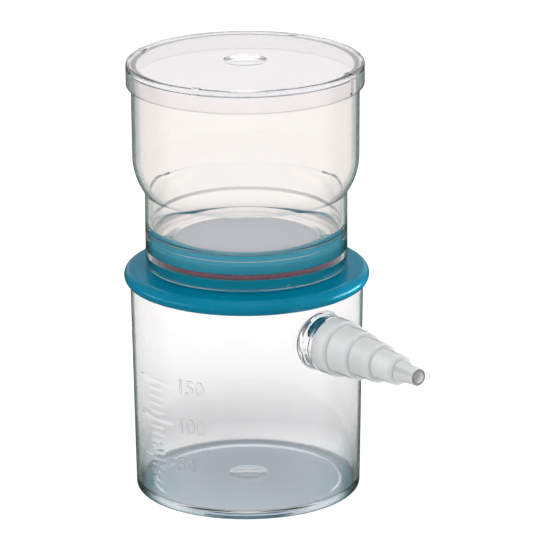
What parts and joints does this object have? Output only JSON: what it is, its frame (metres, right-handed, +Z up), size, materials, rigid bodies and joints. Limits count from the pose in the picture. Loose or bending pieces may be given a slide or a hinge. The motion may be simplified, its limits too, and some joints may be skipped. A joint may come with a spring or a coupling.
{
  "type": "vacuum filtration unit",
  "caption": "Disposable vacuum filter: clear lidded upper chamber O-ringed onto a teal base collar over a clear graduated receiver jar with a stepped side hose adapter.",
  "frame": {"origin": "centre of the receiver jar's foot, on the bench", "axes": "+Z up through the lid, +X along the side port and the hose adapter"},
  "size_m": [0.123, 0.078, 0.1407],
  "materials": {
    "clear_plastic": "clear, moulded smooth",
    "chamber_plastic": "clear, moulded smooth",
    "lid_plastic": "clear, moulded smooth",
    "teal_plastic": "moulded, slight gloss",
    "red_rubber": "smooth silicone",
    "seal_white": "soft, matt",
    "support_white": "matt",
    "membrane_film": "matt film",
    "adapter_white": "satin",
    "vent_fibre": "packed fibre"
  },
  "bodies": {
    "receiver": {"receiver_jar": "clear_plastic", "jar_seal": "seal_white"},
    "adapter": {"hose_adapter": "adapter_white", "vent_plug": "vent_fibre"},
    "base": {"base_collar": "teal_plastic", "membrane_support": "support_white", "membrane": "membrane_film", "chamber_seal": "red_rubber"},
    "chamber": {"upper_chamber": "chamber_plastic"},
    "lid": {"lid": "lid_plastic"}
  },
  "joints": [
    {"name": "adapter_pull", "type": "slide", "parent": "receiver", "child": "adapter", "axis": [1, 0, 0], "range_m": [0, 0.02]},
    {"name": "base_lift", "type": "slide", "parent": "receiver", "child": "base", "axis": [0, 0, 1], "range_m": [0, 0.03]},
    {"name": "chamber_lift", "type": "slide", "parent": "base", "child": "chamber", "axis": [0, 0, 1], "range_m": [0, 0.025]},
    {"name": "lid_lift", "type": "slide", "parent": "chamber", "child": "lid", "axis": [0, 0, 1], "range_m": [0, 0.025]}
  ]
}
